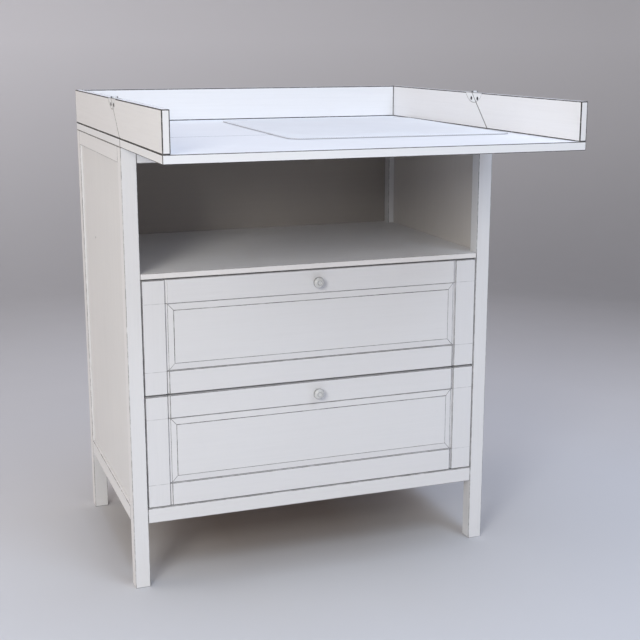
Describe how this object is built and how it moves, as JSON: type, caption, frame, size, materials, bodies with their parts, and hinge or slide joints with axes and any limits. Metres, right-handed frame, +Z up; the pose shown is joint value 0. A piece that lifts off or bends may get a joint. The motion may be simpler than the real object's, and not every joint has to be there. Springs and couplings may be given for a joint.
{
  "type": "changing table",
  "caption": "White framed changing table with a fold-back tray top, a thin mat, an open shelf and panelled drawers on side runners.",
  "frame": {"origin": "on the floor under the middle of the open table, straight below the fold hinge", "axes": "+Z up, -Y towards the person who uses it, +X to that person's right"},
  "size_m": [0.79, 0.87, 0.9933],
  "materials": {
    "painted_frame": "satin white paint on solid wood",
    "painted_face": "satin white paint on fibreboard",
    "painted_top": "satin white paint on fibreboard",
    "foil_board": "white foil on particleboard",
    "drawer_box": "white foil on fibreboard",
    "knob": "satin white paint on turned wood",
    "hinge": "white powder coat",
    "steel": "dark zinc",
    "runner": "white powder coat",
    "mat": "wipe-clean coated fabric over thin foam"
  },
  "bodies": {
    "cabinet": {"leg_front_left": "painted_frame", "leg_front_right": "painted_frame", "leg_rear_left": "painted_frame", "leg_rear_right": "painted_frame", "side_rail_top_left": "painted_frame", "side_rail_top_right": "painted_frame", "side_rail_bottom_left": "painted_frame", "side_rail_bottom_right": "painted_frame", "side_panel_left": "foil_board", "side_panel_right": "foil_board", "front_rail_top": "painted_frame", "front_rail_bottom": "painted_frame", "rear_rail_top": "painted_frame", "rear_rail_bottom": "painted_frame", "back_panel": "foil_board", "shelf": "foil_board", "runner_upper_left": "runner", "runner_upper_right": "runner", "runner_lower_left": "runner", "runner_lower_right": "runner", "top_board_rear": "painted_top", "tray_rail_rear_left": "painted_frame", "tray_rail_rear_right": "painted_frame", "tray_rail_back": "painted_frame", "hinge_leaf_rear_left": "hinge", "hinge_leaf_rear_right": "hinge", "hinge_bolt_rear_left": "steel", "hinge_bolt_rear_right": "steel", "hinge_pin_left": "steel", "hinge_pin_right": "steel", "changing_mat": "mat"},
    "tray_flap": {"top_board_front": "painted_top", "tray_rail_front_left": "painted_frame", "tray_rail_front_right": "painted_frame", "hinge_leaf_front_left": "hinge", "hinge_leaf_front_right": "hinge", "hinge_bolt_front_left": "steel", "hinge_bolt_front_right": "steel"},
    "drawer_upper": {"drawer_upper_stile_left": "painted_face", "drawer_upper_stile_right": "painted_face", "drawer_upper_rail_top": "painted_face", "drawer_upper_rail_bottom": "painted_face", "drawer_upper_panel": "painted_face", "drawer_upper_side_left": "drawer_box", "drawer_upper_side_right": "drawer_box", "drawer_upper_back": "drawer_box", "drawer_upper_bottom": "foil_board", "drawer_upper_knob": "knob", "drawer_upper_knob_screw": "steel"},
    "drawer_lower": {"drawer_lower_stile_left": "painted_face", "drawer_lower_stile_right": "painted_face", "drawer_lower_rail_top": "painted_face", "drawer_lower_rail_bottom": "painted_face", "drawer_lower_panel": "painted_face", "drawer_lower_side_left": "drawer_box", "drawer_lower_side_right": "drawer_box", "drawer_lower_back": "drawer_box", "drawer_lower_bottom": "foil_board", "drawer_lower_knob": "knob", "drawer_lower_knob_screw": "steel"}
  },
  "joints": [
    {"name": "flap_fold", "type": "hinge", "parent": "cabinet", "child": "tray_flap", "pos_m": [0, 0, 0.9903], "axis": [-1, 0, 0], "range_deg": [0, 180], "deforming": ["changing_mat"]},
    {"name": "drawer_upper_slide", "type": "slide", "parent": "cabinet", "child": "drawer_upper", "axis": [0, -1, 0], "range_m": [0, 0.33]},
    {"name": "drawer_lower_slide", "type": "slide", "parent": "cabinet", "child": "drawer_lower", "axis": [0, -1, 0], "range_m": [0, 0.33]}
  ]
}
